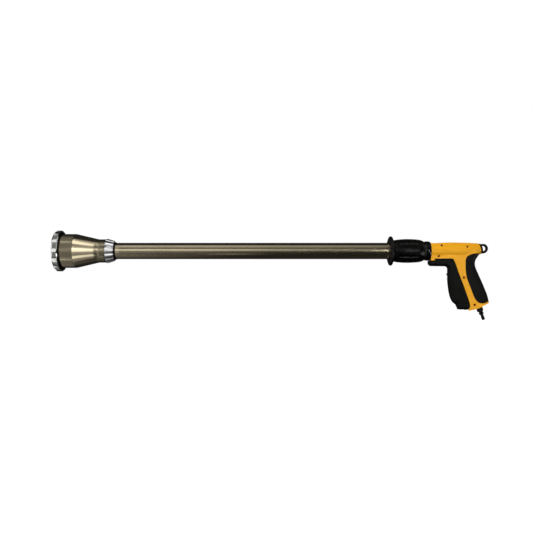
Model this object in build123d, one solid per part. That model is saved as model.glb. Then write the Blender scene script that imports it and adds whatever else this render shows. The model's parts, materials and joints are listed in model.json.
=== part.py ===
from build123d import *
import os
from math import cos, hypot, radians, sin

# Compressed-air leaf blower: a pistol-grip valve gun, a long barrel tube and a flared nozzle.
# Millimetres. The origin is the centre of the nozzle's mouth. The tube runs along +X to the gun,
# the grip hangs down along -Z, and the object is nearly symmetric about the plane y = 0.

# ---- clearances ----
turn_gap = 0.3          # between a part that turns and its neighbour
fit_gap = 0.1           # between two fixed parts that slide together
pin_gap = 0.06          # radial, between the trigger and its pin

# ---- nozzle ----
mouth_r = 38.5          # bore of the front ring
ring_r = 50.0           # over the front ring's crests
ring_length = 15.2
ring_lip = 8.0          # length of the mouth bore
ring_chamfer = 4.0
scallops = 15           # finger scallops round each turning ring
gasket_length = 1.6
gasket_r = 47.0
bell_r = 41.5
bell_wall = 2.0
bell_cylinder_end = 50.0
bell_cone_end = 105.0
bell_neck_r = 28.5
bell_end = 121.5
bell_blend_r = 24.0

# ---- nozzle hub, collar nut and its seal ----
hub_front = 106.0
hub_thread_wall = 3.4   # from the tube out to the hub's thread
hub_length = 30.0
collar_wall = 6.2       # from the hub's thread out to the collar's crests
collar_rear_wall = 3.7  # from the seal out to the collar's rear crests
collar_length = 21.2
seal_proud = 4.0        # how far the seal stands out behind the collar
seal_rear_wall = 0.9

# ---- tube and air pipe ----
tube_r = 20.0
tube_wall = 1.5
tube_length = 794.0
pipe_r = 6.7
pipe_wall = 1.5
spacer_length = 8.0
spacer_count = 3
spoke_width = 4.0
jet_r = 11.0
jet_length = 16.0
jet_front = 81.0

# ---- foregrip, union nut and barrel adapter ----
grip_flange_r = 36.5
grip_flange_thick = 9.3
grip_belly_r = 29.4
grip_length = 85.3
grip_lobes = 6
stop_ring_length = 3.8
stop_ring_wall = 1.0
nut_wall = 3.6          # from the tube out to the union nut's crown
nut_length = 14.7
nut_lip = 3.6
clip_thick = 1.6
spigot_length = 44.0
adapter_flange_r = 11.0
adapter_neck_r = 9.5
air_bore_r = 3.2

# ---- gun housing, from its front face ----
wall = 2.8
barrel_sections = [     # distance from the front face, radius, height of the centre
    (0, 19.8, 0.0), (31, 20.3, 0.1), (59, 20.6, 0.2), (86, 19.9, 0.4),
    (108, 16.7, 2.7), (128, 12.0, 5.6), (140, 10.0, 6.4),
]
grip_half_width = 18.0
grip_corner_r = 13.0
grip_back = [           # distance from the front face and height, down the back of the grip
    (118.5, 4), (117.0, -12), (111.0, -21), (108.8, -33), (112.8, -46.6), (119.2, -61), (126, -76),
    (132.4, -91), (138.2, -106), (142.0, -120), (144.6, -136), (146, -152),
]
pad_edge = [            # the pad's edge on the grip's sides, from its top end round to its foot
    (120.0, -7.4), (110.3, -6.0), (102.3, -7.0), (94.2, -9.4), (87.7, -13.0), (83.8, -19.0), (82.6, -32.0),
    (83.1, -47.0),
    (85.5, -63.7), (91.1, -80.0), (97.6, -97.0), (104.9, -114.5), (111.5, -123.5), (121.0, -127.6),
    (131.0, -126.6),
]
barrel_end = 121.0      # the slanted rear end of the barrel, at the middle of its height
rail_length = 60.0
rail_bottom = -18.7
lip_length = 7.7
lip_bottom = -23.5
front_wall = 2.4
parting_gap = 0.2
pad_depth = 3.4
pad_grooves = 8         # across the heel of the pad
pad_rim = 2.5           # thickened housing round the pad's recess
pad_backing = 2.2       # housing left behind the pad
screw_points = [(26.2, 13.5), (88.2, 9.8), (18.4, -13.0), (79.4, -64.9), (105.4, -131.1)]
screw_mouth_r = 3.4
screw_mouth_floors = [12.6, 14.9, 15.7, 15.7, 15.7]  # how far each mouth's floor is from the parting plane
boss_r = 3.6
screw_r = 1.3
screw_head_r = 2.5
screw_head_thick = 1.8
screw_seat = 8.5        # distance of the screw heads' seats from the parting plane
screw_length = 18.0

# ---- trigger and valve, from the housing's front face ----
pivot = (6.5, -15.5)
pivot_pin_r = 2.0
knuckle_r = 3.6
trigger_half = 14.4
trigger_wall = 3.2
trigger_edge_r = 6.0
trigger_swing = 3.5     # degrees
trigger_skirt = 3.0     # how far the trigger reaches behind the housing's edge
push_point = (54.5, -40.5)
valve_r = 9.8
valve_bore_r = 5.0
valve_front = 8.0
valve_length = 38.0
inlet_at = 15.0         # along the valve, from the trigger's push point
outlet_at = 29.0
hose_r = 4.0
hose_wall = 1.0

# ---- air inlet ----
plug_base = (120.2, -135.5)
plug_tilt = 20.0        # degrees from vertical
bushing_length = 15.0
plug_thread_r = 5.9
plug_hex = 14.0
plug_nose_r = 3.95

# ---- hanging loop ----
loop_centre = (130.4, 5.8)
loop_r = 11.75
loop_hole = (6.7, 6.4)  # half width and half height, before its flat side is cut
loop_half_width = 3.5
cap_thick = 5.4          # from the barrel's end to the flat side of the loop's hole

# ---- places and radii that follow from the sizes above ----
hub_thread_r = tube_r + hub_thread_wall
collar_r = hub_thread_r + collar_wall
seal_rear_r = tube_r + seal_rear_wall
collar_rear_r = seal_rear_r + collar_rear_wall
stop_ring_r = tube_r + stop_ring_wall
nut_r = tube_r + nut_wall
tube_front = hub_front + 5.0
tube_rear = tube_front + tube_length
nut_front = tube_rear - 6.0
gun_front = nut_front + nut_length + turn_gap
tube_bore_r = tube_r - tube_wall


def turned(points):
    """A solid turned about the tube's axis, from (x, radius) points."""
    return revolve(make_face(Polyline(*points, close=True)), Axis.X)


def ring(x_front, x_rear, inner, outer):
    return turned([(x_front, inner), (x_rear, inner), (x_rear, outer), (x_front, outer)])


def round_bar(x_front, x_rear, radius):
    return turned([(x_front, 0), (x_rear, 0), (x_rear, radius), (x_front, radius)])


def side_plate(face, half_width, middle=0.0):
    """A face drawn in side view (x from the housing's front, z), thickened about y = middle."""
    plane = Plane(origin=(gun_front, middle, 0), x_dir=(1, 0, 0), z_dir=(0, -1, 0))
    return extrude(plane * face, amount=half_width, both=True)


def side_bar(x, z, radius, y_from, y_to):
    """A round bar across the gun, from y_from to y_to."""
    centre = (gun_front + x, (y_from + y_to) / 2, z)
    return Pos(*centre) * Rot(90, 0, 0) * Cylinder(radius, y_to - y_from)


def beside(points, distance):
    """The points of a side-view line, each moved by distance to the left of the way the line runs."""
    moved = []
    last = len(points) - 1
    for n, (x, z) in enumerate(points):
        x0, z0 = points[max(n - 1, 0)]
        x1, z1 = points[min(n + 1, last)]
        length = hypot(x1 - x0, z1 - z0)
        moved.append((x - distance * (z1 - z0) / length, z + distance * (x1 - x0) / length))
    return moved


def hexagon(across_flats, length):
    """A hexagonal bar that stands on z = 0."""
    return extrude(RegularPolygon(across_flats / 2, 6, major_radius=False), amount=length)


def round_up(points):
    """A solid turned about its own z axis, from (radius, z) points."""
    outline = Polyline(*[(r, 0, z) for r, z in points], close=True)
    return revolve(make_face(outline), Axis.Z)


# ================= nozzle =================

def scalloped(blank, x_front, x_rear, crest_front_r, crest_rear_r, depth, cutter_r, phase, run_out):
    """Cuts finger scallops into a ring. run_out is how much shallower they are at the rear."""
    front_r = crest_front_r + cutter_r - depth
    rear_r = crest_rear_r + cutter_r - depth + run_out
    path = Vector(x_rear - x_front, 0, rear_r - front_r)
    reach = 6.0
    start = Vector(x_front, 0, front_r) - path.normalized() * reach
    plane = Plane(origin=start, z_dir=path)
    cutter = plane * extrude(Circle(cutter_r), amount=path.length + 2 * reach)
    for n in range(scallops):
        blank -= Rot(phase + n * 360 / scallops, 0, 0) * cutter
    return blank


def front_ring():
    thread_r = bell_r + turn_gap
    blank = turned([
        (0, mouth_r), (ring_lip, mouth_r), (ring_lip, thread_r), (ring_length, thread_r),
        (ring_length, ring_r - 1.5), (ring_length - 1.5, ring_r), (ring_chamfer, ring_r),
        (0, ring_r - ring_chamfer),
    ])
    return scalloped(blank, 0, ring_length, ring_r, ring_r, 3.2, 9.0, 90, 3.4)


def ring_gasket():
    front = ring_length + turn_gap
    return turned([
        (front, bell_r + fit_gap), (front + gasket_length, bell_r + fit_gap),
        (front + gasket_length, gasket_r - 1), (front + gasket_length - 1, gasket_r), (front, gasket_r),
    ])


def bell_profile(inset, x_front, x_rear):
    """The bell's outer line, moved inwards by inset."""
    corners = [
        (x_front, bell_r - inset), (bell_cylinder_end, bell_r - inset),
        (bell_cone_end, bell_neck_r - inset), (x_rear, bell_neck_r - inset),
    ]
    return FilletPolyline(*corners, radius=bell_blend_r)


def bell():
    front = ring_lip + turn_gap
    outer = bell_profile(0, front, bell_end)
    inner = bell_profile(bell_wall, front, bell_end)
    ends = [Line(outer @ 0, inner @ 0), Line(outer @ 1, inner @ 1)]
    return revolve(make_face([*outer.edges(), *inner.edges(), *ends]), Axis.X)


def nozzle_hub():
    """Joins the bell's neck to the tube. The collar nut screws on its rear."""
    body_r = bell_neck_r - bell_wall - fit_gap
    rear = hub_front + hub_length
    return turned([
        (hub_front, tube_bore_r), (tube_front - fit_gap, tube_bore_r), (tube_front - fit_gap, tube_r + fit_gap),
        (rear, tube_r + fit_gap), (rear, hub_thread_r), (bell_end, hub_thread_r), (bell_end, body_r),
        (hub_front, body_r),
    ])


def seal_radius(x):
    """The outer radius of the seal's cone, which the collar nut presses on."""
    front = hub_front + hub_length + 0.5
    rear = bell_end + turn_gap + collar_length + seal_proud
    return hub_thread_r - (hub_thread_r - seal_rear_r) * (x - front) / (rear - front)


def collar_nut():
    front = bell_end + turn_gap
    rear = front + collar_length
    cone = hub_front + hub_length + 0.5
    bore = hub_thread_r + turn_gap
    blank = turned([
        (front, bore), (cone, bore), (rear, seal_radius(rear) + turn_gap),
        (rear, collar_rear_r - 0.8), (rear - 0.8, collar_rear_r), (front + 6, collar_r),
        (front + 2, collar_r), (front, collar_r - 2),
    ])
    return scalloped(blank, front + 4, rear, collar_r, collar_rear_r, 1.5, 7.0, 90 - 8, 0.0)


def collar_seal():
    front = hub_front + hub_length + 0.5
    rear = bell_end + turn_gap + collar_length + seal_proud
    bore = tube_r + fit_gap / 2
    return turned([(front, bore), (rear, bore), (rear, seal_rear_r), (front, seal_radius(front))])


# ================= tube and air pipe =================

def barrel_tube():
    """The outer tube, with a groove near its rear end for the clip ring."""
    groove = clip_front() - fit_gap
    cut = ring(groove, groove + clip_thick + 2 * fit_gap, tube_r - 0.7, tube_r + 1)
    return ring(tube_front, tube_rear, tube_bore_r, tube_r) - cut


def clip_front():
    return nut_front + nut_lip + 0.4


def clip_ring():
    """A split ring in the tube's groove, which the union nut draws against the adapter."""
    whole = ring(clip_front(), clip_front() + clip_thick, tube_r - 0.65, tube_r + 1.4)
    gap = Pos(clip_front(), 0, tube_r) * Box(6, 4, 8)
    return whole - gap


def pipe_front():
    return jet_front + jet_length - 8


def pipe_rear():
    return tube_rear + 0.3 - 18


def air_pipe():
    return ring(pipe_front(), pipe_rear(), pipe_r - pipe_wall, pipe_r)


def wheel(x_front, length, hub_r, rim_inner, rim_outer, spokes):
    """A spoked ring that centres the air pipe."""
    solid = ring(x_front, x_front + length, pipe_r + fit_gap / 2, hub_r)
    solid += ring(x_front, x_front + length, rim_inner, rim_outer)
    for n in range(spokes):
        mid_r = (hub_r + rim_inner) / 2
        arm = Pos(x_front + length / 2, 0, mid_r) * Box(length, spoke_width, rim_inner - hub_r + 1.5)
        solid += Rot(n * 360 / spokes, 0, 0) * arm
    return solid


def pipe_spacers():
    step = tube_length / (spacer_count + 1)
    places = [tube_front + step * (n + 1) for n in range(spacer_count)]
    rim = tube_bore_r - fit_gap
    return Compound(children=[wheel(x, spacer_length, pipe_r + 2, rim - 2, rim, 3) for x in places])


def jet_spider():
    """Centres the jet head in the bell's throat, just ahead of the hub."""
    rim = bell_neck_r - bell_wall - fit_gap
    return wheel(hub_front - 8.2, 8.0, pipe_r + 2.2, rim - 4, rim - 1.2, 3)


def jet_head():
    """A brass head with a ring of small jets, fixed on the front of the air pipe."""
    rear = jet_front + jet_length
    solid = turned([
        (jet_front, 0), (jet_front, jet_r - 4), (jet_front + 3, jet_r - 0.6), (jet_front + 5, jet_r),
        (rear - 1, jet_r), (rear, jet_r - 1), (rear, pipe_r + fit_gap / 2),
        (pipe_front() - 0.2, pipe_r + fit_gap / 2), (pipe_front() - 0.2, pipe_r - pipe_wall),
        (jet_front + 4, pipe_r - pipe_wall), (jet_front + 4, 0),
    ])
    jets = 8
    for n in range(jets):
        hole = Pos(jet_front, 0, 4.0) * Rot(0, 90, 0) * Cylinder(0.8, 12)
        solid -= Rot(n * 360 / jets, 0, 0) * hole
    return solid - Pos(jet_front, 0, 0) * Rot(0, 90, 0) * Cylinder(1.1, 12)


# ================= foregrip and union =================

def grip_rear():
    return nut_front - 0.5


def grip_front():
    return grip_rear() - grip_length


def foregrip():
    """A moulded rubber grip with a hand stop at its front and six long lobes."""
    x0 = grip_front()
    bore = tube_r + fit_gap / 2
    mid = x0 + grip_flange_thick / 2
    flange = turned([
        (x0, bore), (x0, grip_flange_r - 6), (mid - 3.2, grip_flange_r - 2), (mid, grip_flange_r),
        (mid + 3.2, grip_flange_r - 2), (mid + 4.65, grip_flange_r - 6), (mid + 5.2, bore + 5), (mid + 5.2, bore),
    ])
    rear = grip_rear()
    front = mid + 5.0
    top = Spline(
        (front, 25.4), (front + 8, 27.3), (front + 22, grip_belly_r - 0.5), (front + 38, grip_belly_r),
        (front + 56, grip_belly_r - 0.9), (rear - 6, 26.2), (rear, 23.0),
    )
    ends = [Line((front, bore), top @ 0), Line((front, bore), (rear, bore)), Line((rear, bore), top @ 1)]
    body = revolve(make_face([*top.edges(), *ends]), Axis.X)
    groove = Pos((front + rear) / 2, 0, 31.3) * Rot(0, 90, 0) * Cylinder(4.4, grip_length)
    for n in range(grip_lobes):
        body -= Rot(n * 360 / grip_lobes, 0, 0) * groove
    return flange + body


def grip_stop_ring():
    rear = grip_front() - fit_gap
    front = rear - stop_ring_length
    return turned([
        (front, tube_r + fit_gap / 2), (rear, tube_r + fit_gap / 2), (rear, stop_ring_r - 0.5),
        (rear - 0.5, stop_ring_r), (front + 0.5, stop_ring_r), (front, stop_ring_r - 0.5),
    ])


def union_nut():
    """Turns on the adapter's thread and clamps the tube to the gun."""
    rear = nut_front + nut_length
    lip_bore = tube_r + turn_gap
    thread_bore = tube_r + 1.4 + turn_gap
    front_edge = (nut_front, nut_r - 1.6)
    rear_edge = (rear, nut_r - 1.4)
    bore = Polyline(
        front_edge, (nut_front, lip_bore), (nut_front + nut_lip, lip_bore), (nut_front + nut_lip, thread_bore),
        (rear, thread_bore), rear_edge,
    )
    crown = Spline(
        front_edge, (nut_front + 2.4, nut_r - 0.5), (nut_front + 6, nut_r), (rear - 2.6, nut_r - 0.2), rear_edge,
    )
    return revolve(make_face([*bore.edges(), *crown.edges()]), Axis.X)


def barrel_adapter():
    """Carries the tube on its front spigot and the union nut on its flange, and feeds the air pipe."""
    flange_front = tube_rear + fit_gap
    front = tube_rear - spigot_length
    seal_groove = tube_rear - 14
    return turned([
        (front, pipe_r + fit_gap / 2), (front, tube_bore_r - 1.1), (front + 1, tube_bore_r - fit_gap),
        (seal_groove, tube_bore_r - fit_gap), (seal_groove, tube_bore_r - 2.1),
        (seal_groove + 2.4, tube_bore_r - 2.1), (seal_groove + 2.4, tube_bore_r - fit_gap),
        (flange_front, tube_bore_r - fit_gap), (flange_front, tube_r + 1.4), (gun_front - 0.2, tube_r + 1.4),
        (gun_front - 0.2, adapter_neck_r), (gun_front + front_wall + 0.2, adapter_neck_r),
        (gun_front + front_wall + 0.2, adapter_flange_r), (gun_front + front_wall + 3.2, adapter_flange_r),
        (gun_front + front_wall + 3.2, 6.5), (gun_front + 24, 6.5), (gun_front + 24, hose_r + fit_gap / 2),
        (gun_front + 14, hose_r + fit_gap / 2), (gun_front + 14, air_bore_r),
        (pipe_rear() + 0.2, air_bore_r), (pipe_rear() + 0.2, pipe_r + fit_gap / 2),
    ])


def o_ring(x, middle_r, section_r):
    return Pos(x, 0, 0) * Rot(0, 90, 0) * Torus(middle_r, section_r)


def tube_o_ring():
    section = 0.95
    return o_ring(tube_rear - 14 + 1.2, tube_bore_r - 0.05 - section, section)


# ================= housing =================

def barrel_form(inset):
    """The gun's round upper body, moved inwards by inset."""
    faces = []
    for x, radius, height in barrel_sections:
        plane = Plane(origin=(gun_front + x, 0, height), x_dir=(0, 1, 0), z_dir=(1, 0, 0))
        faces.append(plane * Circle(radius - inset))
    return loft(faces)


def grip_form(inset):
    """The pistol grip's whole outer form, moved inwards by inset at its sides and back."""
    back = Spline(*beside(grip_back, -inset))
    front = Polyline(back @ 1, (70, -152), (30, -20), (30, 4), back @ 0)
    solid = side_plate(make_face([*back.edges(), *front.edges()]), grip_half_width - inset)
    rear = [e for e in solid.edges() if e.geom_type == GeomType.BSPLINE]
    return fillet(rear, grip_corner_r - inset)


def rail_form(inset):
    """The straight rail under the barrel, with a deeper lip at its front."""
    half = grip_half_width - inset
    front = front_wall if inset else 0
    below = 12 if inset else 0      # the inside is open at the bottom
    rail = Polyline(
        (front, 0), (rail_length, 0), (rail_length, rail_bottom - below), (lip_length, rail_bottom - below),
        (lip_length, lip_bottom - below), (front, lip_bottom - below), close=True,
    )
    return side_plate(make_face(rail), half)


def trigger_edge(shift=0.0):
    """The edge of the housing beside the trigger, from the rail down to the foot."""
    points = [
        (53.2, -19.6), (59.3, -31.9), (64.3, -46.6), (71.6, -66.2), (78.9, -85.8), (86.0, -105.4),
        (91.9, -122.5), (94.7, -134.5),
    ]
    return Spline(*[(x + shift, z) for x, z in points])


def pad_region(grow=0.0):
    """The side-view area that the rear grip pad covers, widened all along its edge by grow."""
    edge = Spline(*beside(pad_edge, -grow))
    corners = [edge @ 1, (160, -112), (160, -24), edge @ 0]
    return make_face([*edge.edges(), *Polyline(*corners).edges()])


def below_bottom(raised=0.0):
    """The side-view area under the grip's base line."""
    line = Spline(*[(x, z + raised) for x, z in
                    [(60, -143.9), (98, -144.4), (113.5, -140.1), (126, -134.1), (141, -126.6), (165, -116)]])
    corners = [line @ 1, (165, -190), (60, -190), line @ 0]
    return make_face([*line.edges(), *Polyline(*corners).edges()])


def ahead_of_edge():
    """The side-view area ahead of the housing's edge, where the trigger shows."""
    edge = trigger_edge()
    corners = [edge @ 1, (88.0, -150), (10, -150), (10, rail_bottom), (49, rail_bottom), edge @ 0]
    return make_face([*edge.edges(), *Polyline(*corners).edges()])


def behind_rear_plane(distance):
    """All that lies behind the slanted plane that ends the barrel."""
    normal = Vector(0.970, 0, 0.243)
    origin = Vector(gun_front + barrel_end, 0, 6) + normal * distance
    return extrude(Plane(origin=origin, z_dir=normal) * Rectangle(200, 200), amount=100)


def outer_form(inset=0.0):
    return barrel_form(inset) + grip_form(inset) + rail_form(inset)


def valve_plane():
    """The valve's own frame: its z axis is the way the trigger pushes, from the push point."""
    arm = Vector(push_point[0] - pivot[0], 0, push_point[1] - pivot[1]).normalized()
    way = Vector(-arm.Z, 0, arm.X)
    return Plane(origin=(gun_front + push_point[0], 0, push_point[1]), x_dir=arm, z_dir=way)


def plug_plane():
    """The air plug's frame: its z axis points out of the grip's base."""
    tilt = radians(plug_tilt)
    return Plane(
        origin=(gun_front + plug_base[0], 0, plug_base[1]),
        x_dir=(cos(tilt), 0, sin(tilt)), z_dir=(sin(tilt), 0, -cos(tilt)),
    )


def inner_room():
    """The hollow of the housing, deeper behind the pad, with room for the trigger at its foot."""
    room = barrel_form(wall) + grip_form(wall) + rail_form(wall)
    room -= side_plate(pad_region(pad_rim), 40)
    room += grip_form(pad_depth + pad_backing)
    room -= Pos(gun_front + front_wall / 2, 0, 0) * Box(front_wall, 60, 60)
    floor = side_plate(below_bottom(wall + 0.6), 40) - side_plate(make_face(
        Polyline((60, -100), (100.5, -100), (100.5, -160), (60, -160), close=True)), 40)
    return room - floor - behind_rear_plane(2)


def housing():
    """Both halves of the housing as one solid, before it is parted."""
    valve = valve_plane()
    plug = plug_plane()
    room = inner_room()
    for x, z in screw_points:
        room -= side_bar(x, z, boss_r, -30, 30)
    for s in (37.5, 43.5):
        room -= valve * Pos(0, 0, s) * Box(26, 60, 3) & Pos(gun_front + 65, 0, 10) * Box(60, 60, 42)
    for s in (-2.6, -17.2):
        room -= plug * Pos(0, 0, s) * Box(26, 60, 2.4) & Pos(gun_front + 124, 0, -128) * Box(36, 60, 50)
    room -= Pos(gun_front + front_wall + 4.8, 0, 8) * Box(2.2, 60, 34)
    shell = outer_form() - room
    shell -= side_plate(ahead_of_edge(), 60)
    shell -= side_plate(below_bottom(), 60)
    shell -= behind_rear_plane(0)
    shell -= side_plate(pad_region(), 60) - grip_form(pad_depth)
    shell -= valve * Pos(0, 0, valve_front + valve_length / 2) * Cylinder(valve_r + fit_gap, valve_length + 2)
    shell -= round_bar(gun_front - 5, gun_front + front_wall + 0.1, adapter_neck_r + fit_gap)
    shell -= round_bar(gun_front + front_wall + 0.1, gun_front + 12, 6.5 + fit_gap)
    shell -= plug * Pos(0, 0, -bushing_length / 2 - 0.5) * Cylinder(8.8, bushing_length - 0.4)
    shell -= plug * Pos(0, 0, 0) * Cylinder(plug_thread_r + 0.3, 12)
    shell -= plug * Pos(0, 0, -20) * Cylinder(hose_r + 0.3, 16)
    shell -= plug * Pos(0, 0, 5.6) * Cylinder(plug_hex / 2 + 1.4, 10)
    shell -= side_bar(*pivot, pivot_pin_r + 0.02, -grip_half_width + 1, grip_half_width - 1)
    for (x, z), floor in zip(screw_points, screw_mouth_floors):
        shell -= side_bar(x, z, screw_r + 0.05, -screw_seat - 1, screw_length - screw_seat + 0.5)
        shell -= side_bar(x, z, screw_r + 0.35, -screw_seat - 1, 0)
        shell -= side_bar(x, z, screw_head_r + 0.25, -30, -screw_seat)
        shell -= side_bar(x, z, screw_mouth_r, -30, -floor)
    return shell


def half_space(side):
    """The near side is -1 and the far side is 1; half the parting gap is left out."""
    return Pos(gun_front + 60, side * (40 + parting_gap / 2), -60) * Box(400, 80, 400)


def hang_loop():
    """The end cap of the barrel, with the hanging loop moulded on it."""
    cap = barrel_form(0.3) & behind_rear_plane(0) - behind_rear_plane(cap_thick)
    plug = (barrel_form(wall + 0.2) & behind_rear_plane(-3.8)) - behind_rear_plane(1)
    plug -= side_plate(pad_region(pad_rim + fit_gap), 40)
    x, z = loop_centre
    disc = side_plate(Pos(x, z) * Circle(loop_r), loop_half_width)
    hole = side_plate(Pos(x, z) * Ellipse(*loop_hole), 20) & behind_rear_plane(cap_thick)
    loop = (disc & behind_rear_plane(1)) - hole
    edges = loop.edges().filter_by(GeomType.CIRCLE)
    loop = fillet(edges, 1.4)
    solid = cap + plug + loop
    return solid


def rear_grip_pad():
    """A soft pad wrapped over the back of the grip, with grooves across its heel."""
    pad = (outer_form() & side_plate(pad_region(-fit_gap), 60)) - grip_form(pad_depth - fit_gap)
    pad -= side_plate(below_bottom(), 60)
    pad -= behind_rear_plane(0)
    back = Spline(*beside(grip_back, 1.1))
    for n in range(pad_grooves):
        point = back @ (0.44 + 0.40 * n / (pad_grooves - 1))
        pad -= side_bar(point.X, point.Y, 2.3, -40, 40)
    return pad


def housing_screws():
    """Five self-tapping screws with cross recesses, all driven from the near side."""
    screws = []
    for x, z in screw_points:
        head = side_bar(x, z, screw_head_r, -screw_seat - screw_head_thick, -screw_seat)
        shank = side_bar(x, z, screw_r, -screw_seat, screw_length - screw_seat)
        depth = -screw_seat - screw_head_thick
        centre = Pos(gun_front + x, depth + 0.5, z)
        cross = centre * Box(3.2, 1.6, 0.8) + centre * Box(0.8, 1.6, 3.2)
        screws.append(head + shank - cross)
    return Compound(children=screws)


# ================= trigger =================

def trigger_outline():
    """The side view of the trigger: nose, rail arm, four-finger front, foot and hidden rear edge."""
    nose = FilletPolyline((-3.2, -24.2), (-3.2, -37.0), (45.0, -37.6), (45.0, -62.0), radius=[8, 7])
    front = Spline(
        (45.0, -62.0), (45.2, -74), (46.6, -88.2), (49.4, -105.4), (53.2, -117.6), (57.8, -125.4),
        (64.6, -130.8), tangents=[(0, -1), (2, -1)],
    )
    foot = Polyline((64.6, -130.8), (67.6, -137.5), (69.6, -143.1), (93.5, -143.1))
    rear = trigger_edge(trigger_skirt)
    foot_rear = Line((93.5, -143.1), rear @ 1)
    top = Polyline(rear @ 0, (54.5, -14.5), (10.5, -14.5), (10.5, -24.2), (-3.2, -24.2))
    edges = [*nose.edges(), *front.edges(), *foot.edges(), foot_rear, *rear.edges(), *top.edges()]
    return make_face(edges)


def trigger_hollow():
    """The side view of the trigger's hollow, open at its back and top."""
    front = Spline(
        (48.3, -62.0), (48.5, -74), (50.0, -88.2), (52.8, -104.6), (56.4, -116), (60.6, -122.6), (66.6, -127.4),
        tangents=[(0, -1), (2, -1)],
    )
    line = Polyline(
        (66.6, -127.4), (70.6, -135.3), (72.2, -139.9), (130, -139.9), (130, -60), (90, 0), (15, 0),
        (15, -34.0), (42, -34.3), (48.3, -40), (48.3, -62.0),
    )
    return make_face([*front.edges(), *line.edges()])


def boss_sweep(x, z):
    """The room that a screw boss needs in the trigger over its whole swing."""
    steps = 4
    room = Part()
    about = Pos(gun_front + pivot[0], 0, pivot[1])
    for n in range(steps + 1):
        bar = side_bar(x, z, boss_r + 0.4, -30, 30)
        turn = Rot(0, trigger_swing * n / steps, 0)
        room += about * turn * about.inverse() * bar
    return room


def trigger():
    solid = side_plate(trigger_outline(), trigger_half)
    front_edges = [
        e for e in solid.edges()
        if abs(abs(e.center().Y) - trigger_half) < 0.01 and is_front_edge(e)
    ]
    solid = fillet(front_edges, trigger_edge_r)
    solid -= side_plate(trigger_hollow(), trigger_half - trigger_wall)
    solid += side_bar(*pivot, knuckle_r, -trigger_half, trigger_half)
    neck = make_face(Polyline((3.2, -15.5), (9.8, -15.5), (12, -25), (3.2, -25), close=True))
    solid += side_plate(neck, trigger_half)
    ridge = Pos(gun_front + 45.6, 0, -57.1) * Rot(90, 0, 0) * Cylinder(2.6, 2 * trigger_half - 9)
    solid += ridge
    valve = valve_plane()
    tappet = valve * Pos(0, 0, -1.9) * Box(15, 2 * trigger_half - 2, 3.4)
    solid += tappet
    ribs = [(50, -84, 12), (56, -112, 14)]
    for x, z, length in ribs:
        solid += Pos(gun_front + x + length / 2, 0, z) * Box(length, 2 * trigger_half - 2, 2.2)
    solid -= side_bar(*pivot, pivot_pin_r + pin_gap, -30, 30)
    for x, z in screw_points[2:]:
        solid -= boss_sweep(x, z)
    return solid


def is_front_edge(edge):
    """True for the side edges of the trigger that a finger meets: not the hidden top, rear or shoulder."""
    centre = edge.center()
    x, z = centre.X - gun_front, centre.Z
    hidden_rear = x > 56 and z > -136 or x > 85
    hidden_top = z > -25
    return not hidden_rear and not hidden_top


def trigger_pin():
    return side_bar(*pivot, pivot_pin_r, -grip_half_width + 1.2, grip_half_width - 1.2)


# ================= valve =================

def valve_body():
    """A spool valve: air comes in at the lower side port and leaves by the upper one."""
    rear = valve_front + valve_length
    body = round_up([
        (valve_bore_r, valve_front), (valve_r - 1, valve_front), (valve_r, valve_front + 1), (valve_r, rear),
        (valve_bore_r + 1.2, rear), (valve_bore_r + 1.2, rear - 4), (valve_bore_r, rear - 4),
        (valve_bore_r, 33), (valve_bore_r + 1.6, 33), (valve_bore_r + 1.6, 24.4), (valve_bore_r, 24.4),
    ])
    for way, height in ((1, inlet_at), (-1, outlet_at)):
        body -= Pos(way * valve_r / 2, 0, height) * Rot(0, 90, 0) * Cylinder(air_bore_r - 0.4, valve_r)
        body -= Pos(way * valve_r, 0, height) * Rot(0, 90, 0) * Cylinder(hose_r + fit_gap / 2, 6)
    return valve_plane() * body


def valve_spool():
    """The sliding spool: three lands with a seal groove each, and a domed tip for the trigger."""
    land = valve_bore_r - 0.06
    waist = 2.6
    groove = land - 1.5
    points = [(0, 0.25), (1.2, 0.4), (2.4, 1.2), (waist, 2.0), (waist, 8.6)]
    for start, end in ((8.6, 12.2), (20.2, 23.8), (33.4, 36.6)):
        middle = (start + end) / 2
        points += [
            (land, start), (land, middle - 0.8), (groove, middle - 0.8), (groove, middle + 0.8),
            (land, middle + 0.8), (land, end), (waist, end),
        ]
    points = points[:-1] + [(0, 36.6)]
    fixed = []
    for index, point in enumerate(points):
        if index and points[index - 1][0] == waist and point[0] == land:
            fixed.append((waist, point[1]))
        fixed.append(point)
    cleaned = [p for i, p in enumerate(fixed) if i == 0 or p != fixed[i - 1]]
    return valve_plane() * round_up(cleaned)


def spool_seals():
    section = 0.72
    land = valve_bore_r - 0.06
    seals = [Pos(0, 0, s) * Torus(land - section - 0.02, section) for s in (10.4, 22.0, 35.0)]
    return valve_plane() * Compound(children=seals)


def valve_cap():
    rear = valve_front + valve_length
    cap = round_up([
        (0, rear + 2.4), (valve_bore_r - 0.8, rear + 2.4), (valve_bore_r - 0.8, rear - 3.8),
        (valve_bore_r + 1.1, rear - 3.8), (valve_bore_r + 1.1, rear + 0.1), (0, rear + 0.1),
    ])
    head = Pos(0, 0, rear + 0.1) * hexagon(15, 4.2)
    pocket = Pos(0, 0, rear - 1) * Cylinder(valve_bore_r - 0.8, 6.8)
    return valve_plane() * (cap + head - pocket)


def coil_spring(wire_r, mean_r, length, turns):
    """A helical spring that stands on z = 0."""
    pitch = (length - 2 * wire_r) / turns
    helix = Helix(pitch=pitch, height=pitch * turns, radius=mean_r)
    section = Plane(origin=helix @ 0, z_dir=helix % 0) * Circle(wire_r)
    return Pos(0, 0, wire_r) * sweep(section, path=helix)


def valve_spring():
    rest_length = valve_front + valve_length + 2.3 - 36.8
    return valve_plane() * Pos(0, 0, 36.7) * coil_spring(0.45, 3.2, rest_length, 5)


# ================= air lines in the gun =================

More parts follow.
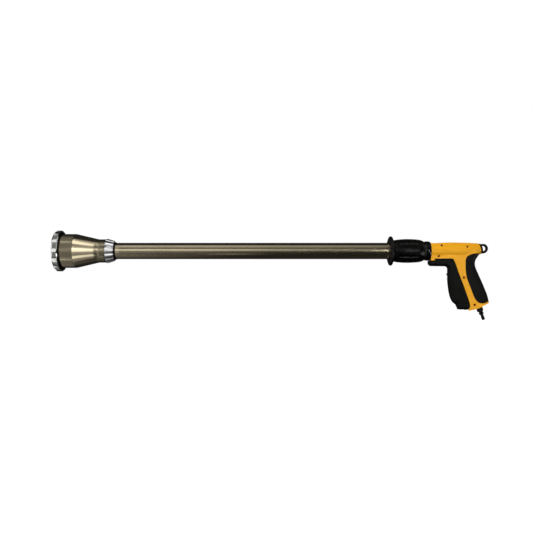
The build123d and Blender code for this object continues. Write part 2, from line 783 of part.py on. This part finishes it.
def hose(points, radius):
    """A bent tube through side-view points, hollow."""
    path = FilletPolyline(*[(gun_front + x, 0, z) for x, z in points], radius=radius)
    plane = Plane(origin=path @ 0, z_dir=path % 0)
    outer = sweep(plane * Circle(hose_r), path=path)
    inner = sweep(plane * Circle(hose_r - hose_wall), path=path)
    return outer - inner


def port_line(way, height, out):
    """A side-view point on a valve port's axis, out millimetres from the valve's axis."""
    point = valve_plane().from_local_coords(Vector(way * out, 0, height))
    return (point.X - gun_front, point.Z)


def crossing(p, p_way, q, q_way):
    """Where two side-view lines meet."""
    det = p_way[0] * -q_way[1] + p_way[1] * q_way[0]
    t = ((q[0] - p[0]) * -q_way[1] + (q[1] - p[1]) * q_way[0]) / det
    return (p[0] + t * p_way[0], p[1] + t * p_way[1])


def outlet_hose():
    start = port_line(-1, outlet_at, valve_r - 2.9)
    away = port_line(-1, outlet_at, valve_r + 5)
    way = (away[0] - start[0], away[1] - start[1])
    bend = crossing(start, way, (0, 0), (1, 0))
    return hose([start, bend, (14.2, 0)], [20])


def inlet_hose():
    start = port_line(1, inlet_at, valve_r - 2.9)
    away = port_line(1, inlet_at, valve_r + 5)
    way = (away[0] - start[0], away[1] - start[1])
    tilt = radians(plug_tilt)
    down = (sin(tilt), -cos(tilt))
    end = (plug_base[0] - 10.2 * down[0], plug_base[1] - 10.2 * down[1])
    bend = crossing(start, way, end, down)
    return hose([start, bend, end], [16])


def inlet_bushing():
    """A brass hexagon held in the grip's base. The plug screws in below and the hose enters above."""
    body = Pos(0, 0, -bushing_length - 0.5) * hexagon(15, bushing_length - 3.6)
    body -= Pos(0, 0, -4.6) * Cylinder(plug_thread_r + 0.05, 10)
    body -= Pos(0, 0, -12.5) * Cylinder(hose_r + fit_gap / 2, 10)
    return plug_plane() * body


def inlet_filter():
    """A sintered disc above the plug's thread."""
    return plug_plane() * Pos(0, 0, -9.7) * Cylinder(hose_r - 0.3, 0.7)


def air_plug():
    """The quick-connect plug that an air hose snaps onto."""
    thread_top = -9.2
    body = round_up([
        (2.8, thread_top), (plug_thread_r, thread_top), (plug_thread_r, 0.8), (4.4, 0.8), (4.4, 12.5),
        (5.2, 12.6), (4.9, 16.6), (5.9, 17.2), (5.9, 19.8), (3.6, 21.4), (3.6, 23.6), (plug_nose_r, 24.2),
        (plug_nose_r, 34), (plug_nose_r - 1, 35), (2.8, 35),
    ])
    nut = Pos(0, 0, 0.8) * hexagon(plug_hex, 11.8) & Pos(0, 0, 6.7) * Cylinder(plug_hex / 2 + 0.9, 14)
    bore = Cylinder(2.8, 100)
    return plug_plane() * (body + (nut - bore))


def split_housing():
    whole = housing()
    return whole & half_space(-1), whole & half_space(1)


def main():
    os.makedirs("parts", exist_ok=True)
    near_half, far_half = split_housing()
    nodes = {
        "front_ring": front_ring(),
        "ring_gasket": ring_gasket(),
        "nozzle_bell": bell(),
        "nozzle_hub": nozzle_hub(),
        "collar_nut": collar_nut(),
        "collar_seal": collar_seal(),
        "barrel_tube": barrel_tube(),
        "clip_ring": clip_ring(),
        "air_pipe": air_pipe(),
        "pipe_spacers": pipe_spacers(),
        "jet_spider": jet_spider(),
        "jet_head": jet_head(),
        "foregrip": foregrip(),
        "grip_stop_ring": grip_stop_ring(),
        "union_nut": union_nut(),
        "barrel_adapter": barrel_adapter(),
        "tube_o_ring": tube_o_ring(),
        "housing_near_half": near_half,
        "housing_far_half": far_half,
        "housing_screws": housing_screws(),
        "hang_loop": hang_loop(),
        "rear_grip_pad": rear_grip_pad(),
        "trigger": trigger(),
        "trigger_pin": trigger_pin(),
        "valve_body": valve_body(),
        "valve_spool": valve_spool(),
        "spool_seals": spool_seals(),
        "valve_cap": valve_cap(),
        "valve_spring": valve_spring(),
        "outlet_hose": outlet_hose(),
        "inlet_hose": inlet_hose(),
        "inlet_bushing": inlet_bushing(),
        "inlet_filter": inlet_filter(),
        "air_plug": air_plug(),
    }
    for name, shape in nodes.items():
        export_step(shape, f"parts/{name}.step")


main()
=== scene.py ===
"""Looks of the compressed-air leaf blower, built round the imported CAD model. Metres."""

import json
import math

import bpy
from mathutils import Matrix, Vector


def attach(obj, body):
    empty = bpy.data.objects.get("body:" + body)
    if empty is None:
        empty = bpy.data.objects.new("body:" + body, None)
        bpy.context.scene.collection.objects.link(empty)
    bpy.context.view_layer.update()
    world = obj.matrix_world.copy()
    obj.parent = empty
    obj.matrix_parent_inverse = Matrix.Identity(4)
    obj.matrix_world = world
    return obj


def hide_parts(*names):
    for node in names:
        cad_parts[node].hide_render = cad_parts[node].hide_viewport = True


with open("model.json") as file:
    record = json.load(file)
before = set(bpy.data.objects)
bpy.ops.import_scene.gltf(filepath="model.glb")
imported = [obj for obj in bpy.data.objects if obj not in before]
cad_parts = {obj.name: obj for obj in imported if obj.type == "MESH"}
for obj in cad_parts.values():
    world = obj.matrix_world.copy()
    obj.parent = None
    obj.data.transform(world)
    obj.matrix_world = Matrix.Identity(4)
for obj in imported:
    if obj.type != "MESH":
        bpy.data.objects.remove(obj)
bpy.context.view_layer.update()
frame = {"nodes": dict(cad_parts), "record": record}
nodes = frame["nodes"]


class NodeKit:
    """Adds and links the nodes of one tree."""

    def __init__(self, tree):
        self.tree = tree

    def add(self, kind, **values):
        node = self.tree.nodes.new(kind)
        for key, value in values.items():
            setattr(node, key, value)
        return node

    def link(self, a, b):
        self.tree.links.new(a, b)


# ================= materials =================
# Noise scales are features per metre, and bump distances are metres.

class Look(NodeKit):
    """A procedural material built in object space, so that its grain is in real millimetres."""

    def __init__(self, name):
        self.mat = bpy.data.materials.new(name)
        self.mat.use_nodes = True
        super().__init__(self.mat.node_tree)
        self.shader = self.tree.nodes["Principled BSDF"]
        self.place = self.add("ShaderNodeTexCoord").outputs["Object"]

    def stretched(self, scale):
        """The object's coordinates, scaled by axis."""
        node = self.add("ShaderNodeMapping")
        self.link(self.place, node.inputs["Vector"])
        node.inputs["Scale"].default_value = scale
        return node.outputs["Vector"]

    def noise(self, scale, detail=3.0, rough=0.55, stretch=None):
        node = self.add("ShaderNodeTexNoise")
        self.link(self.stretched(stretch) if stretch else self.place, node.inputs["Vector"])
        node.inputs["Scale"].default_value = scale
        node.inputs["Detail"].default_value = detail
        node.inputs["Roughness"].default_value = rough
        return node.outputs["Fac"]

    def ramp(self, fac, *stops):
        """Stops are (place, grey)."""
        node = self.add("ShaderNodeValToRGB")
        for element, (place, grey) in zip(node.color_ramp.elements, stops):
            element.position = place
            element.color = (grey, grey, grey, 1)
        self.link(fac, node.inputs["Fac"])
        return node.outputs["Color"]

    def mix(self, fac, a, b):
        node = self.add("ShaderNodeMix", data_type="RGBA")
        if isinstance(fac, (int, float)):
            node.inputs["Factor"].default_value = fac
        else:
            self.link(fac, node.inputs["Factor"])
        for socket, value in (("A", a), ("B", b)):
            target = [i for i in node.inputs if i.name == socket and i.type == "RGBA"][0]
            if isinstance(value, tuple):
                target.default_value = (*value, 1)
            else:
                self.link(value, target)
        return [o for o in node.outputs if o.type == "RGBA"][0]

    def span(self, fac, low, high):
        """A factor from 0 to 1, spread from low to high."""
        node = self.add("ShaderNodeMapRange")
        self.link(fac, node.inputs["Value"])
        node.inputs["To Min"].default_value = low
        node.inputs["To Max"].default_value = high
        return node.outputs["Result"]

    def bump(self, height, distance, strength):
        node = self.add("ShaderNodeBump")
        self.link(height, node.inputs["Height"])
        node.inputs["Distance"].default_value = distance
        node.inputs["Strength"].default_value = strength
        return node.outputs["Normal"]

    def done(self, colour, rough, normal=None, **fixed):
        """Wires the shader, with fixed values on its other sockets, and returns the material."""
        self.link(colour, self.shader.inputs["Base Color"])
        if isinstance(rough, float):
            self.shader.inputs["Roughness"].default_value = rough
        else:
            self.link(rough, self.shader.inputs["Roughness"])
        if normal:
            self.link(normal, self.shader.inputs["Normal"])
        for socket, value in fixed.items():
            self.shader.inputs[socket.replace("_", " ")].default_value = value
        return self.mat


def moulded(name, light, dark, rough, grain=0.5, gloss=0.5):
    """Moulded plastic: soft tone changes, a fine spark-eroded grain and faint handling marks."""
    look = Look(name)
    tone = look.noise(14.0, 4.0)
    colour = look.mix(look.ramp(tone, (0.35, 0.0), (0.7, 1.0)), dark, light)
    scuff = look.noise(220.0, 5.0, 0.7)
    rough_map = look.span(scuff, rough - 0.06, rough + 0.08)
    grain_map = look.noise(2600.0, 2.0, 0.6)
    normal = look.bump(grain_map, 0.00006 * grain, 0.6)
    return look.done(colour, rough_map, normal, IOR=1.48, Specular_IOR_Level=gloss)


def rubber(name, light, dark, rough, gloss):
    """Moulded rubber: matt, with a pebbled skin and dusty tone changes."""
    look = Look(name)
    tone = look.noise(30.0, 5.0, 0.6)
    colour = look.mix(look.ramp(tone, (0.3, 0.0), (0.75, 1.0)), dark, light)
    pebble = look.noise(1500.0, 3.0, 0.5)
    normal = look.bump(pebble, 0.00012, 0.7)
    rough_map = look.span(look.noise(90.0), rough - 0.07, rough + 0.07)
    return look.done(colour, rough_map, normal, Specular_IOR_Level=gloss)


def metal(name, light, dark, rough, along=(1, 1, 1), line_scale=900.0, line_depth=0.000004, spread=0.05):
    """Metal with a finish of fine lines. The smaller along is on an axis, the longer the lines run along it."""
    look = Look(name)
    cloud = look.noise(9.0, 4.0, 0.6)
    colour = look.mix(look.ramp(cloud, (0.3, 0.0), (0.75, 1.0)), dark, light)
    lines = look.noise(line_scale, 3.0, 0.6, along)
    smear = look.noise(60.0, 4.0, 0.6)
    rough_map = look.span(look.mix(0.4, lines, smear), rough - spread, rough + spread)
    normal = look.bump(lines, line_depth, 0.5)
    return look.done(colour, rough_map, normal, Metallic=1.0)


def polished(name, light, dark, rough):
    """Metal polished almost free of lines."""
    return metal(name, light, dark, rough, line_scale=400.0, line_depth=0.000002, spread=0.03)


YELLOW = moulded("yellow_abs", (0.85, 0.395, 0.013), (0.79, 0.355, 0.010), 0.36, 0.6, 0.25)
NYLON = moulded("black_nylon", (0.0034, 0.0036, 0.0030), (0.0022, 0.0024, 0.0020), 0.42, 0.8, 0.08)
GLOSS = moulded("black_gloss", (0.003, 0.003, 0.003), (0.002, 0.002, 0.002), 0.14, 0.1, 0.25)
ACETAL = moulded("white_acetal", (0.74, 0.74, 0.71), (0.68, 0.68, 0.65), 0.4)
HOSE = moulded("blue_hose", (0.03, 0.10, 0.34), (0.022, 0.08, 0.28), 0.3)
RUBBER = rubber("black_rubber", (0.0040, 0.0040, 0.0034), (0.0024, 0.0024, 0.0022), 0.5, 0.12)
GRIP_RUBBER = rubber("grip_rubber", (0.0026, 0.0026, 0.0022), (0.0016, 0.0016, 0.0014), 0.28, 0.13)
SEAL = rubber("seal_rubber", (0.0030, 0.0030, 0.0030), (0.0020, 0.0020, 0.0020), 0.5, 0.1)
BRONZE = metal("bronze_aluminium", (0.40, 0.345, 0.235), (0.33, 0.285, 0.19), 0.2, (0.02, 1, 1))
# Painted shade: the front ring is the collar nut's polished aluminium with a darker base colour, which stands in for
# the dark surroundings it reflects.
RING_METAL_PAINTED_SHADE = polished("ring_aluminium_painted_shade", (0.52, 0.52, 0.50), (0.44, 0.44, 0.42), 0.1)
POLISHED = polished("polished_aluminium", (0.93, 0.93, 0.93), (0.86, 0.86, 0.87), 0.09)
ALUMINIUM = metal("plain_aluminium", (0.80, 0.80, 0.81), (0.70, 0.71, 0.72), 0.26, (1, 0.03, 0.03))
STEEL = metal("steel", (0.62, 0.62, 0.63), (0.50, 0.50, 0.52), 0.3)
# Black steel of the screw heads, partly its own black finish and partly painted shade: the base is kept very dark so
# the screws read as the shade in their recesses.
BLACK_STEEL_WITH_PAINTED_SHADE = metal("black_steel", (0.016, 0.016, 0.016), (0.009, 0.009, 0.009), 0.34)
BRASS = metal("brass", (0.80, 0.60, 0.28), (0.68, 0.48, 0.20), 0.24)

LOOK_OF_SLOT = {
    "polished_aluminium": POLISHED, "bronze_aluminium": BRONZE, "plain_aluminium": ALUMINIUM,
    "black_rubber": RUBBER, "seal_rubber": SEAL, "black_nylon": NYLON, "black_gloss": GLOSS,
    "yellow_abs": YELLOW, "white_acetal": ACETAL, "blue_hose": HOSE, "steel": STEEL,
    "black_steel": BLACK_STEEL_WITH_PAINTED_SHADE, "brass": BRASS,
}
# The front ring gets the darker copy, a painted shade on the same polished aluminium as the collar nut.
LOOK_OF_NODE = {"front_ring": RING_METAL_PAINTED_SHADE}  # darker than the collar nut, which shares its slot


def dress_cad_nodes():
    """Gives each CAD node the look of its material slot, or its own where it has one."""
    for part in frame["record"]["subparts"]:
        materials = nodes[part["node"]].data.materials
        materials.clear()
        materials.append(LOOK_OF_NODE.get(part["node"], LOOK_OF_SLOT[part["material_slot"]]))


# ================= refined rubber pieces =================

def new_piece(name, mesh, look, body, slot_name, *replaced):
    """Adds a smooth-shaded piece that rides on a body and stands for CAD nodes."""
    piece = bpy.data.objects.new(name, mesh)
    bpy.context.scene.collection.objects.link(piece)
    mesh.materials.clear()
    mesh.materials.append(look)
    for polygon in mesh.polygons:
        polygon.use_smooth = True
    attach(piece, body)
    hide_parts(*replaced)


def soft_copy(node, voxel, repeats):
    """A copy of a CAD node's mesh with its edges rounded as rubber moulds them."""
    copy = nodes[node].copy()
    copy.data = nodes[node].data.copy()
    copy.parent = None
    bpy.context.scene.collection.objects.link(copy)
    remesh = copy.modifiers.new("remesh", "REMESH")
    remesh.mode, remesh.voxel_size = "VOXEL", voxel
    soften = copy.modifiers.new("soften", "SMOOTH")
    soften.factor, soften.iterations = 0.5, repeats
    bpy.context.view_layer.update()
    shown = copy.evaluated_get(bpy.context.evaluated_depsgraph_get())
    mesh = bpy.data.meshes.new_from_object(shown)
    bpy.data.objects.remove(copy)
    return mesh


# ================= studio =================

class Studio(NodeKit):
    """Node maths for the lights that the metal and the gloss reflect."""

    def __init__(self, tree):
        super().__init__(tree)
        tree.nodes.clear()

    def maths(self, operation, *values):
        """The result of a Math node, whose inputs are numbers or sockets."""
        node = self.add("ShaderNodeMath", operation=operation)
        for socket, value in zip(node.inputs, values):
            if isinstance(value, (int, float)):
                socket.default_value = value
            else:
                self.link(value, socket)
        return node.outputs[0]

    def degrees(self, up, out):
        """The angle of a direction, in degrees from out towards up."""
        return self.maths("MULTIPLY", self.maths("ARCTAN2", up, out), 180 / math.pi)

    def ease(self, value, low, high, at_low=0.0, at_high=1.0):
        """A smooth step from at_low to at_high as the value goes from low to high."""
        node = self.add("ShaderNodeMapRange", interpolation_type="SMOOTHSTEP")
        self.link(value, node.inputs["Value"])
        for socket, number in zip(("From Min", "From Max", "To Min", "To Max"), (low, high, at_low, at_high)):
            node.inputs[socket].default_value = number
        return node.outputs[0]

    def window(self, value, low, high, soft):
        """1 between low and high, falling to 0 over soft outside them."""
        rise = self.ease(value, low - soft, low)
        return self.maths("MULTIPLY", rise, self.ease(value, high, high + soft, 1.0, 0.0))

    def panels(self, along, height, soft_along, base, table):
        """The sum of a base and the soft-edged panels of a table, whose power changes along each."""
        light = base
        for (x0, x1), (h0, h1), soft, first, last in table:
            patch = self.maths("MULTIPLY", self.window(along, x0, x1, soft_along), self.window(height, h0, h1, soft))
            power = self.ease(along, x0, x1, first, last)
            light = self.maths("ADD", light, self.maths("MULTIPLY", patch, power))
        return light


# Each panel has its range along, its range of degrees up, its upper and lower edges' softness in degrees, and
# its power at the two ends. Along the walls round the tube it is metres of X, and the degrees go up from the
# level of the camera's side. The far wall is what all of the blower reflects.
TENT_R = 1.2
TENT_ENDS = (-0.62, 1.7)
TENT_SOFT_ALONG = 0.02
TENT_PANELS = [
    ((-0.15, 1.04), (8.0, 18.0), 6.0, 2.1, 0.5),
    ((-0.15, 1.04), (52.0, 80.0), 8.0, 1.0, 0.55),
    ((-0.15, 1.04), (24.0, 32.0), 9.0, 0.45, 0.2),
    ((-0.15, 0.97), (-16.0, 4.0), 10.0, 0.42, 0.05),
    ((-0.15, 0.30), (-100.0, -20.0), 14.0, 0.22, 0.05),
    ((0.30, 0.43), (-52.0, -40.0), 6.0, 0.5, 0.5),
    ((-0.66, -0.24), (-120.0, 100.0), 20.0, 0.30, 0.26),
    ((-0.66, -0.24), (-2.0, 12.0), 6.0, 0.22, 0.25),
    ((1.12, 1.22), (-6.0, 10.0), 3.0, 16.0, 16.0),
    ((1.22, 1.60), (40.0, 85.0), 15.0, 0.5, 0.5),
]
# Strips of light on a sleeve close to the axis, four that the bell's cone reflects and four for the collar nut.
STRIPS_R = 0.05
STRIPS_ENDS = (0.03, 0.155)
STRIPS_SOFT_ALONG = 0.0015
CONE_AT, COLLAR_AT = (0.048, 0.101), (0.132, 0.149)
STRIP_PANELS = [
    (CONE_AT, (29.8, 40.5), 5.0, 1.55, 1.45),
    (CONE_AT, (-3.9, 8.4), 3.3, 1.75, 1.75),
    (CONE_AT, (-31.8, -24.6), 4.5, 1.6, 1.5),
    (CONE_AT, (-46.0, 46.0), 6.5, 0.36, 0.36),
    (COLLAR_AT, (26.0, 36.0), 4.0, 0.4, 0.4),
    (COLLAR_AT, (1.5, 8.5), 3.0, 0.6, 0.6),
    (COLLAR_AT, (-18.5, -15.0), 3.0, 0.6, 0.6),
    (COLLAR_AT, (-40.0, 40.0), 5.0, 0.13, 0.13),
]
# What the blower reflects from further off. Along these it is degrees round from the camera's side towards +X.
ROOM_PANELS = [
    ((-122.0, -106.0), (-50.0, 60.0), 2.0, 1.6, 1.6),
    ((-78.0, -66.0), (-50.0, 60.0), 2.0, 1.3, 1.3),
    ((-54.0, -34.0), (-60.0, 60.0), 2.0, 1.9, 1.9),
    ((38.0, 75.0), (-32.0, -12.0), 4.0, 7.0, 7.0),
    ((70.0, 110.0), (8.0, 45.0), 6.0, 0.9, 0.9),
]
ROOM_SOFT_ALONG = 3.0
ROOM_GLOW = 0.05

FLOOR_HEIGHT = -0.42
FLOOR_HALF = 40.0
FLOOR_GLOW = 0.9

CAMERA_AWAY = 1.65
VIEW_WIDTH = 1.3475  # how much of the blower's own plane the picture takes in
VIEW_CENTRE_X = 0.5155
VIEW_CENTRE_Z = -0.0588
SENSOR_MM = 36.0


def studio_world():
    """Plain white to the camera, and a dark room with a few large softboxes to everything else."""
    world = bpy.data.worlds.new("studio")
    bpy.context.scene.world = world
    world.use_nodes = True
    kit = Studio(world.node_tree)
    split = kit.add("ShaderNodeSeparateXYZ")
    kit.link(kit.add("ShaderNodeTexCoord").outputs["Generated"], split.inputs[0])
    x, y, z = split.outputs
    round_way = kit.degrees(x, kit.maths("MULTIPLY", y, -1.0))
    height = kit.maths("MULTIPLY", kit.maths("ARCSINE", z), 180 / math.pi)
    room = kit.add("ShaderNodeBackground")
    light = kit.panels(round_way, height, ROOM_SOFT_ALONG, ROOM_GLOW, ROOM_PANELS)
    kit.link(light, room.inputs["Strength"])
    white = kit.add("ShaderNodeBackground")
    white.inputs["Color"].default_value = (1, 1, 1, 1)
    choose = kit.add("ShaderNodeMixShader")
    kit.link(kit.add("ShaderNodeLightPath").outputs["Is Camera Ray"], choose.inputs[0])
    kit.link(room.outputs[0], choose.inputs[1])
    kit.link(white.outputs[0], choose.inputs[2])
    kit.link(choose.outputs[0], kit.add("ShaderNodeOutputWorld").inputs["Surface"])


def lit_wall(name, radius, ends, soft_along, table):
    """A lit wall round the tube that only reflections see."""
    steps = 96
    rows = [[(x, -radius * math.cos(a), radius * math.sin(a)) for x in ends]
            for a in (2 * math.pi * n / steps for n in range(steps))]
    faces = [(2 * n, 2 * n + 1, 2 * ((n + 1) % steps) + 1, 2 * ((n + 1) % steps)) for n in range(steps)]
    mesh = bpy.data.meshes.new(name)
    mesh.from_pydata([p for row in rows for p in row], [], faces)
    wall = bpy.data.objects.new(name, mesh)
    bpy.context.scene.collection.objects.link(wall)
    mat = bpy.data.materials.new(name)
    mat.use_nodes = True
    kit = Studio(mat.node_tree)
    split = kit.add("ShaderNodeSeparateXYZ")
    kit.link(kit.add("ShaderNodeTexCoord").outputs["Object"], split.inputs[0])
    x, y, z = split.outputs
    height = kit.degrees(z, kit.maths("MULTIPLY", y, -1.0))
    glow = kit.add("ShaderNodeEmission")
    kit.link(kit.panels(x, height, soft_along, 0.0, table), glow.inputs["Strength"])
    both = kit.add("ShaderNodeAddShader")
    kit.link(glow.outputs[0], both.inputs[0])
    kit.link(kit.add("ShaderNodeBsdfTransparent").outputs[0], both.inputs[1])
    kit.link(both.outputs[0], kit.add("ShaderNodeOutputMaterial").inputs["Surface"])
    mesh.materials.append(mat)
    wall.visible_camera = wall.visible_diffuse = wall.visible_shadow = wall.visible_transmission = False


def area_light(name, place, target, size, watts):
    """A rectangular softbox that lights the blower but isn't seen in its gloss."""
    data = bpy.data.lights.new(name, "AREA")
    data.shape, data.size, data.size_y, data.energy = "RECTANGLE", *size, watts
    lamp = bpy.data.objects.new(name, data)
    bpy.context.scene.collection.objects.link(lamp)
    lamp.location = place
    lamp.rotation_mode = "QUATERNION"
    lamp.rotation_quaternion = (Vector(target) - Vector(place)).to_track_quat("-Z", "Y")
    lamp.visible_glossy = False


def pale_floor():
    """A floor with a glow of its own, so that it stays pale out to its far edge."""
    mesh = bpy.data.meshes.new("floor")
    corners = [(-1, -1), (1, -1), (1, 1), (-1, 1)]
    mesh.from_pydata([(FLOOR_HALF * x, FLOOR_HALF * y, FLOOR_HEIGHT) for x, y in corners], [], [(0, 1, 2, 3)])
    floor = bpy.data.objects.new("floor", mesh)
    bpy.context.scene.collection.objects.link(floor)
    look = Look("pale_floor")
    tone = look.noise(0.8, 2.0)
    look.done(look.mix(tone, (0.80, 0.80, 0.80), (0.83, 0.83, 0.825)), 0.9,
              Emission_Color=(1, 1, 1, 1), Emission_Strength=FLOOR_GLOW)
    mesh.materials.append(look.mat)
    floor.visible_glossy = False
    floor.visible_diffuse = False


def camera():
    """The photograph's view, level and square to the blower's side."""
    data = bpy.data.cameras.new("camera")
    data.sensor_width = SENSOR_MM
    data.lens = SENSOR_MM * CAMERA_AWAY / VIEW_WIDTH
    cam = bpy.data.objects.new("camera", data)
    bpy.context.scene.collection.objects.link(cam)
    cam.location = (VIEW_CENTRE_X, -CAMERA_AWAY, VIEW_CENTRE_Z)
    cam.rotation_euler = (math.pi / 2, 0, 0)
    bpy.context.scene.camera = cam


dress_cad_nodes()
foregrip_mesh = soft_copy("foregrip", voxel=0.0006, repeats=6)
new_piece("foregrip_rubber", foregrip_mesh, GRIP_RUBBER, "gun", "black_rubber", "foregrip")
pad_mesh = soft_copy("rear_grip_pad", voxel=0.0005, repeats=4)
new_piece("grip_pad_rubber", pad_mesh, RUBBER, "gun", "black_rubber", "rear_grip_pad")

studio_world()
lit_wall("light_tent", TENT_R, TENT_ENDS, TENT_SOFT_ALONG, TENT_PANELS)
lit_wall("close_strips", STRIPS_R, STRIPS_ENDS, STRIPS_SOFT_ALONG, STRIP_PANELS)
area_light("key", place=(0.3, -2.2, 1.9), target=(0.6, 0, 0), size=(2.2, 1.2), watts=58)
area_light("fill", place=(1.6, -2.0, -0.1), target=(0.8, 0, -0.05), size=(1.2, 1.2), watts=10)
area_light("rim", place=(0.6, 1.6, 1.6), target=(0.6, 0, 0), size=(2.0, 0.8), watts=30)
pale_floor()
camera()
bpy.context.scene.view_settings.view_transform = "Standard"

bpy.context.view_layer.update()
